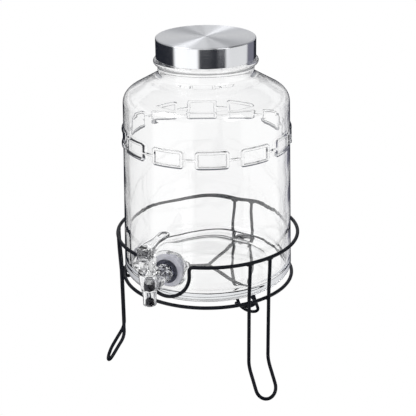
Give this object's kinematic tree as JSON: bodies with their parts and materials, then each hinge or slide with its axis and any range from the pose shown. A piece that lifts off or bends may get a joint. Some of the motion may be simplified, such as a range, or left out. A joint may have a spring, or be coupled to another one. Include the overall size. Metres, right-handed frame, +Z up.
{
  "type": "beverage dispenser",
  "caption": "Wide glass jar with a screw lid, a band of links in relief and a clear lever tap, standing in a black wire stand with hairpin legs.",
  "frame": {"origin": "middle of the footprint at ground level: halfway between the lever's cam in front and the rear foot", "axes": "+Z up along the jar, -Y towards the tap's side, +X to the right seen from the tap's side"},
  "size_m": [0.2216, 0.2766, 0.3932],
  "materials": {
    "black_wire": "satin black coating on steel wire",
    "glass": "clear pressed glass",
    "clear_plastic": "clear polished",
    "brushed_steel": "circular brushed top, brushed skirt",
    "white_plastic": "moulded white",
    "silicone": "translucent matt",
    "black_rubber": "matt",
    "spring_steel": "bright drawn wire"
  },
  "bodies": {
    "stand": {"upper_ring": "black_wire", "lower_ring": "black_wire", "front_left_leg": "black_wire", "front_right_leg": "black_wire", "rear_leg": "black_wire", "front_left_star_arm": "black_wire", "front_right_star_arm": "black_wire", "rear_star_arm": "black_wire"},
    "jar_and_tap": {"jar": "glass", "outer_washer": "silicone", "inner_washer": "silicone", "tap_nut": "clear_plastic", "tap_body": "clear_plastic", "tap_bonnet": "clear_plastic", "stem_o_ring": "black_rubber"},
    "seal": {"lid_seal": "silicone"},
    "lid": {"lid_shell": "brushed_steel", "lid_liner": "white_plastic"},
    "valve": {"valve_stem": "white_plastic", "valve_plug": "black_rubber", "valve_spring": "spring_steel", "lever_pin": "spring_steel"},
    "lever": {"lever": "clear_plastic"}
  },
  "joints": [
    {"name": "jar_lift", "type": "slide", "parent": "stand", "child": "jar_and_tap", "axis": [0, 0, 1], "range_m": [0, 0.12]},
    {"name": "lid_rise", "type": "slide", "parent": "jar_and_tap", "child": "seal", "axis": [0, 0, 1], "range_m": [0, 0.0061]},
    {"name": "lid_turn", "type": "hinge", "parent": "seal", "child": "lid", "pos_m": [0, 0.01448, 0.38], "axis": [0, 0, 1], "range_deg": [0, 360]},
    {"name": "valve_lift", "type": "slide", "parent": "jar_and_tap", "child": "valve", "axis": [0, 0, 1], "range_m": [0, 0.0047], "deforming": ["valve_spring"]},
    {"name": "lever_flip", "type": "hinge", "parent": "valve", "child": "lever", "pos_m": [0, -0.12452, 0.1837], "axis": [1, 0, 0], "range_deg": [0, 55]}
  ],
  "couplings": [
    {"joint": "lid_rise", "follows": "lid_turn", "m_per_rad": 0.00095493},
    {"joint": "valve_lift", "follows": "lever_flip", "m_per_rad": 0.00482}
  ]
}
